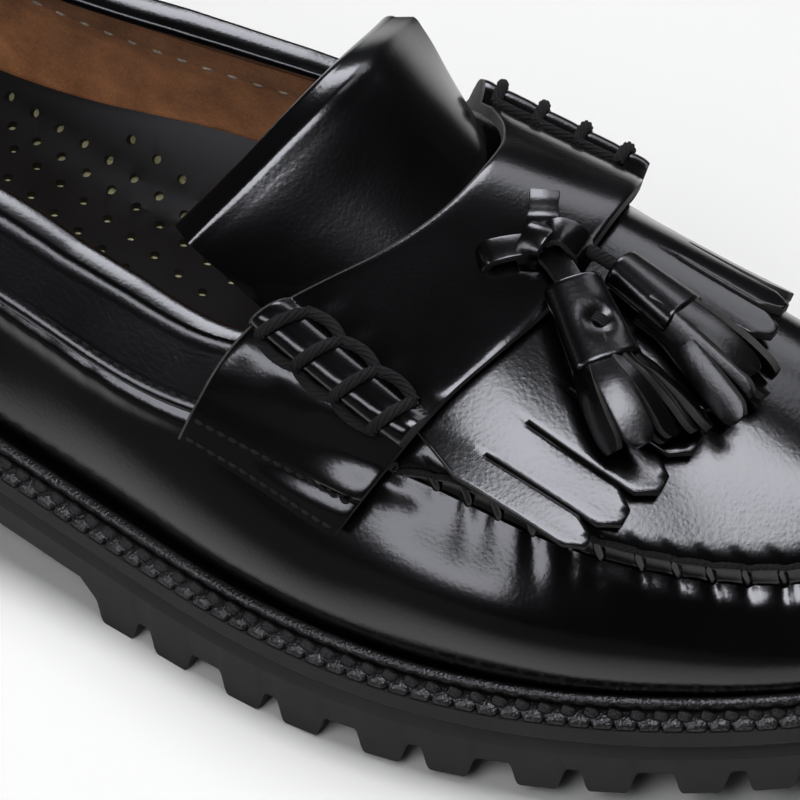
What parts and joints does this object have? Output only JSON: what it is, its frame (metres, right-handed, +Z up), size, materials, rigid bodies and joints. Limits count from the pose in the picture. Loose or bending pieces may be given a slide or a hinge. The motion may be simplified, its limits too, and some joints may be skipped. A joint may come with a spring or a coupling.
{
  "type": "lug sole tassel loafer",
  "caption": "Right slip-on loafer in glossy black leather on a lugged rubber sole, with a laced saddle strap, a cut fringe and tassels, hollow for a foot.",
  "frame": {"origin": "centre of the bounding rectangle on the floor, on the plane of the lugs' lower faces", "axes": "+X to the toe, +Y to the inner side of this right shoe, +Z up"},
  "size_m": [0.2874, 0.1009, 0.0884],
  "materials": {
    "rubber": "matt moulded rubber",
    "gloss_leather": "high-gloss brushed leather",
    "welt_leather": "satin stitched leather",
    "insole_leather": "satin punched leather"
  },
  "bodies": {
    "root": {"outsole": "rubber", "welt": "welt_leather", "upper": "gloss_leather", "insole": "insole_leather", "tongue": "gloss_leather", "saddle_strap": "gloss_leather", "kiltie": "gloss_leather", "tie": "gloss_leather", "tassel_near": "gloss_leather", "tassel_far": "gloss_leather"}
  },
  "joints": []
}
